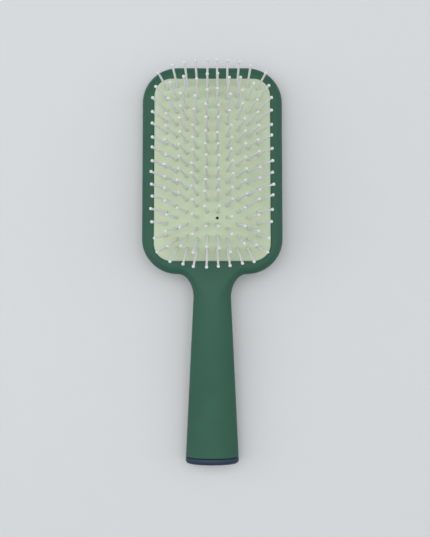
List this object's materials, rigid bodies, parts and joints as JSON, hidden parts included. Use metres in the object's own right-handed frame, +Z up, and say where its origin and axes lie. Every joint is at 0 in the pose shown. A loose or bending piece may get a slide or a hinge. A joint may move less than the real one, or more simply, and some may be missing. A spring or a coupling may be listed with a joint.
{
  "type": "paddle pin brush",
  "caption": "Pet grooming paddle brush with a domed rubber cushion, splayed ball-tipped pins, and a tapered hollow handle closed by an end cap.",
  "frame": {"origin": "under the middle of the whole brush, on the surface that the brush lies on with its pins up", "axes": "+Y along the brush from the handle to the far end of the head, +X across the head, +Z up, the way the pins point"},
  "size_m": [0.088, 0.2506, 0.0511],
  "materials": {
    "body_green": "soft-touch matt",
    "cap_navy": "satin",
    "cushion_rubber": "matt",
    "pin_nylon": "satin, slightly translucent"
  },
  "bodies": {
    "handle_and_head": {"front_shell": "body_green", "back_shell": "body_green", "end_cap": "cap_navy", "cushion": "cushion_rubber"},
    "pin_ring_5": {"pins_ring5_left": "pin_nylon", "pins_ring5_right": "pin_nylon"},
    "pin_ring_4": {"pins_ring4_left": "pin_nylon", "pins_ring4_right": "pin_nylon", "pins_ring4_far": "pin_nylon", "pins_ring4_near": "pin_nylon"},
    "pin_ring_3": {"pins_ring3_left": "pin_nylon", "pins_ring3_right": "pin_nylon", "pins_ring3_far": "pin_nylon", "pins_ring3_near": "pin_nylon"},
    "pin_ring_2": {"pins_ring2_left": "pin_nylon", "pins_ring2_right": "pin_nylon", "pins_ring2_far": "pin_nylon", "pins_ring2_near": "pin_nylon"},
    "pin_ring_1": {"pins_ring1_left": "pin_nylon", "pins_ring1_right": "pin_nylon", "pins_ring1_far": "pin_nylon", "pins_ring1_near": "pin_nylon"}
  },
  "joints": [
    {"name": "cushion_press", "type": "slide", "parent": "handle_and_head", "child": "pin_ring_5", "axis": [0, -0.0785, -0.9969], "range_m": [0, 0.005], "stiffness_N_per_m": 2000, "deforming": ["cushion"]},
    {"name": "ring_4_sink", "type": "slide", "parent": "handle_and_head", "child": "pin_ring_4", "axis": [0, -0.0785, -0.9969], "range_m": [0, 0.005]},
    {"name": "ring_3_sink", "type": "slide", "parent": "handle_and_head", "child": "pin_ring_3", "axis": [0, -0.0785, -0.9969], "range_m": [0, 0.005]},
    {"name": "ring_2_sink", "type": "slide", "parent": "handle_and_head", "child": "pin_ring_2", "axis": [0, -0.0785, -0.9969], "range_m": [0, 0.005]},
    {"name": "ring_1_sink", "type": "slide", "parent": "handle_and_head", "child": "pin_ring_1", "axis": [0, -0.0785, -0.9969], "range_m": [0, 0.005]}
  ],
  "couplings": [
    {"joint": "ring_4_sink", "follows": "cushion_press", "ratio": 0.97},
    {"joint": "ring_3_sink", "follows": "cushion_press", "ratio": 0.9},
    {"joint": "ring_2_sink", "follows": "cushion_press", "ratio": 0.75},
    {"joint": "ring_1_sink", "follows": "cushion_press", "ratio": 0.42}
  ]
}
